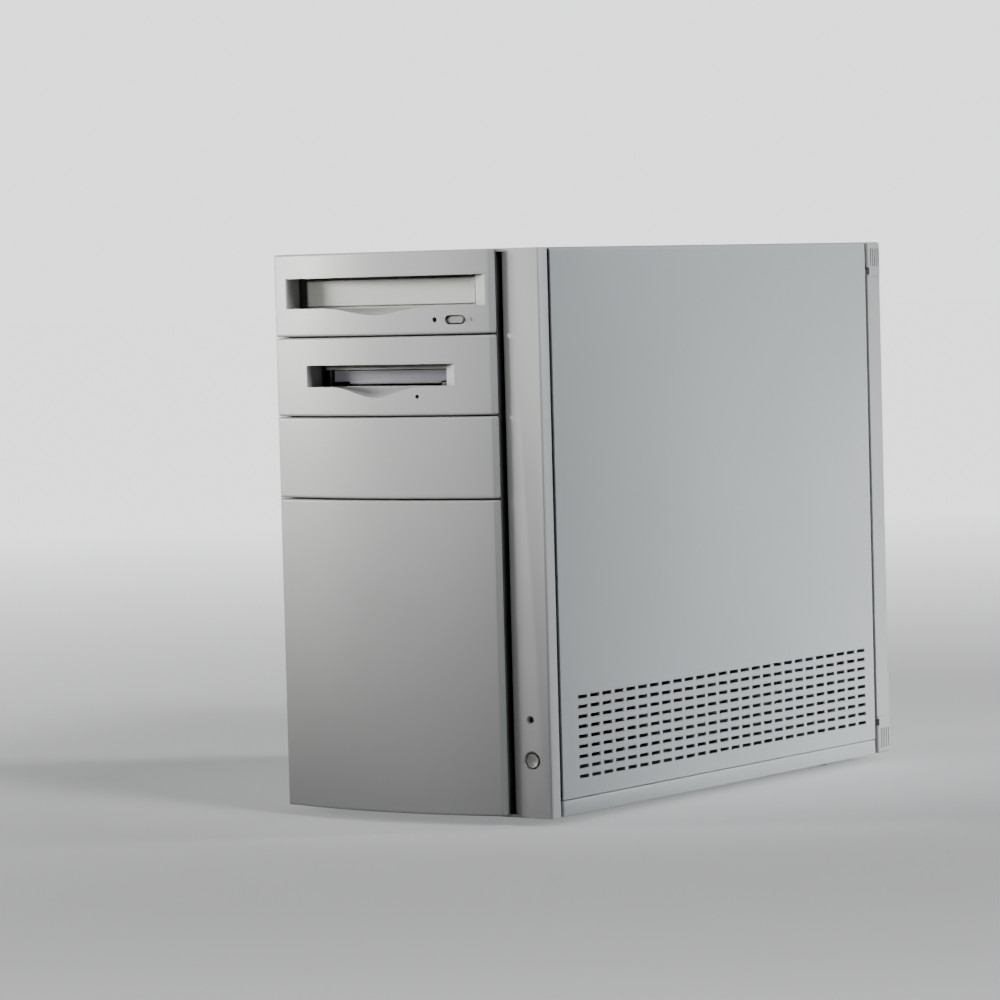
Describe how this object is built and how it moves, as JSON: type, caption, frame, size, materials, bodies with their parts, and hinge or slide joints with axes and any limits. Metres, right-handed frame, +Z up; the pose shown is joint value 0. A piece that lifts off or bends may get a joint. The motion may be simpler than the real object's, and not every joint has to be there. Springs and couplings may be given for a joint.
{
  "type": "desktop computer tower",
  "caption": "Mid-size desktop computer tower with a crowned column of drive bezels, a narrow control strip, vented side door, disc and floppy drives and fitted insides.",
  "frame": {"origin": "on the ground under the middle of the footprint", "axes": "+Z up, the front faces -Y, the hinged side door faces +X"},
  "size_m": [0.2, 0.422, 0.347],
  "materials": {
    "face_plastic": "light warm grey moulded plastic with a fine matte texture",
    "panel_paint": "silver grey satin paint on sheet steel",
    "tray_plastic": "light grey moulded plastic",
    "dark_plastic": "black moulded plastic",
    "shutter_grey": "mid grey moulded plastic",
    "zinc_steel": "zinc plated sheet steel",
    "heatsink_aluminium": "milled and cast aluminium",
    "board_green": "green solder mask on glass-fibre board",
    "socket_ivory": "ivory connector plastic",
    "foot_rubber": "black rubber",
    "lamp_lens": "dark green lamp lens",
    "cable_grey": "grey ribbed ribbon cable",
    "wire_black": "bundled insulated wires",
    "guard_chrome": "bright plated wire"
  },
  "bodies": {
    "chassis": {"base_rail_left": "panel_paint", "base_rail_right": "panel_paint", "bay_cover": "face_plastic", "bezel_frame": "face_plastic", "board_power_plug": "socket_ivory", "cd_bezel": "face_plastic", "cd_drive_case": "zinc_steel", "cd_drive_face": "tray_plastic", "chassis_base": "zinc_steel", "chassis_front": "zinc_steel", "chassis_rear": "zinc_steel", "cover_shell": "panel_paint", "cpu_fan_frame": "dark_plastic", "cpu_heatsink": "heatsink_aluminium", "cpu_socket": "socket_ivory", "drive_cage": "zinc_steel", "expansion_slot_1": "socket_ivory", "expansion_slot_2": "socket_ivory", "expansion_slot_3": "socket_ivory", "floppy_bezel": "face_plastic", "floppy_bracket_left": "zinc_steel", "floppy_bracket_right": "zinc_steel", "floppy_drive_case": "zinc_steel", "floppy_drive_face": "face_plastic", "foot_front_left": "foot_rubber", "foot_front_right": "foot_rubber", "foot_rear_left": "foot_rubber", "foot_rear_right": "foot_rubber", "graphics_bracket": "zinc_steel", "graphics_card": "board_green", "hard_drive": "heatsink_aluminium", "hdd_cage": "zinc_steel", "io_shield": "zinc_steel", "lower_panel": "face_plastic", "memory_module": "board_green", "memory_sockets": "socket_ivory", "motherboard": "board_green", "motherboard_tray": "zinc_steel", "parallel_port": "zinc_steel", "power_inlet": "dark_plastic", "power_led_lens": "lamp_lens", "power_switch": "dark_plastic", "ps2_ports": "shutter_grey", "psu_case": "zinc_steel", "psu_fan_guard": "guard_chrome", "psu_harness": "wire_black", "rear_frame": "face_plastic", "ribbon_cable": "cable_grey", "serial_port": "zinc_steel", "slot_cover_1": "zinc_steel", "slot_cover_2": "zinc_steel"},
    "side_door": {"side_door": "panel_paint"},
    "cd_tray": {"cd_tray": "tray_plastic"},
    "cd_eject_button": {"cd_eject_button": "tray_plastic"},
    "floppy_shutter": {"floppy_shutter": "shutter_grey"},
    "floppy_eject_button": {"floppy_eject_button": "dark_plastic"},
    "power_button": {"power_button": "face_plastic"},
    "cpu_fan_rotor": {"cpu_fan_rotor": "dark_plastic"},
    "psu_fan_rotor": {"psu_fan_rotor": "dark_plastic"},
    "psu_rocker": {"psu_rocker": "dark_plastic"}
  },
  "joints": [
    {"name": "side_door_hinge", "type": "hinge", "parent": "chassis", "child": "side_door", "pos_m": [0.1, 0, 0.0152], "axis": [0, 1, 0], "range_deg": [0, 80]},
    {"name": "cd_tray_slide", "type": "slide", "parent": "chassis", "child": "cd_tray", "axis": [0, -1, 0], "range_m": [0, 0.14]},
    {"name": "cd_eject_press", "type": "slide", "parent": "chassis", "child": "cd_eject_button", "axis": [0, 1, 0], "range_m": [0, 0.001], "stiffness_N_per_m": 800, "springref_m": -0.001},
    {"name": "floppy_shutter_hinge", "type": "hinge", "parent": "chassis", "child": "floppy_shutter", "pos_m": [-0.0108, -0.1903, 0.2745], "axis": [1, 0, 0], "range_deg": [0, 80], "stiffness_Nm_per_rad": 0.004, "springref_deg": -17.19},
    {"name": "floppy_eject_press", "type": "slide", "parent": "chassis", "child": "floppy_eject_button", "axis": [0, 1, 0], "range_m": [0, 0.003], "stiffness_N_per_m": 500, "springref_m": -0.002},
    {"name": "power_button_press", "type": "slide", "parent": "chassis", "child": "power_button", "axis": [0, 1, 0], "range_m": [0, 0.0025], "stiffness_N_per_m": 600, "springref_m": -0.0015},
    {"name": "cpu_fan_spin", "type": "hinge", "parent": "chassis", "child": "cpu_fan_rotor", "pos_m": [-0.0486, 0.035, 0.195], "axis": [1, 0, 0], "continuous": true},
    {"name": "psu_fan_spin", "type": "hinge", "parent": "chassis", "child": "psu_fan_rotor", "pos_m": [-0.043, 0.176, 0.299], "axis": [0, 1, 0], "continuous": true},
    {"name": "psu_rocker_tilt", "type": "hinge", "parent": "chassis", "child": "psu_rocker", "pos_m": [0.03, 0.187, 0.276], "axis": [1, 0, 0], "range_deg": [0, 12]}
  ]
}
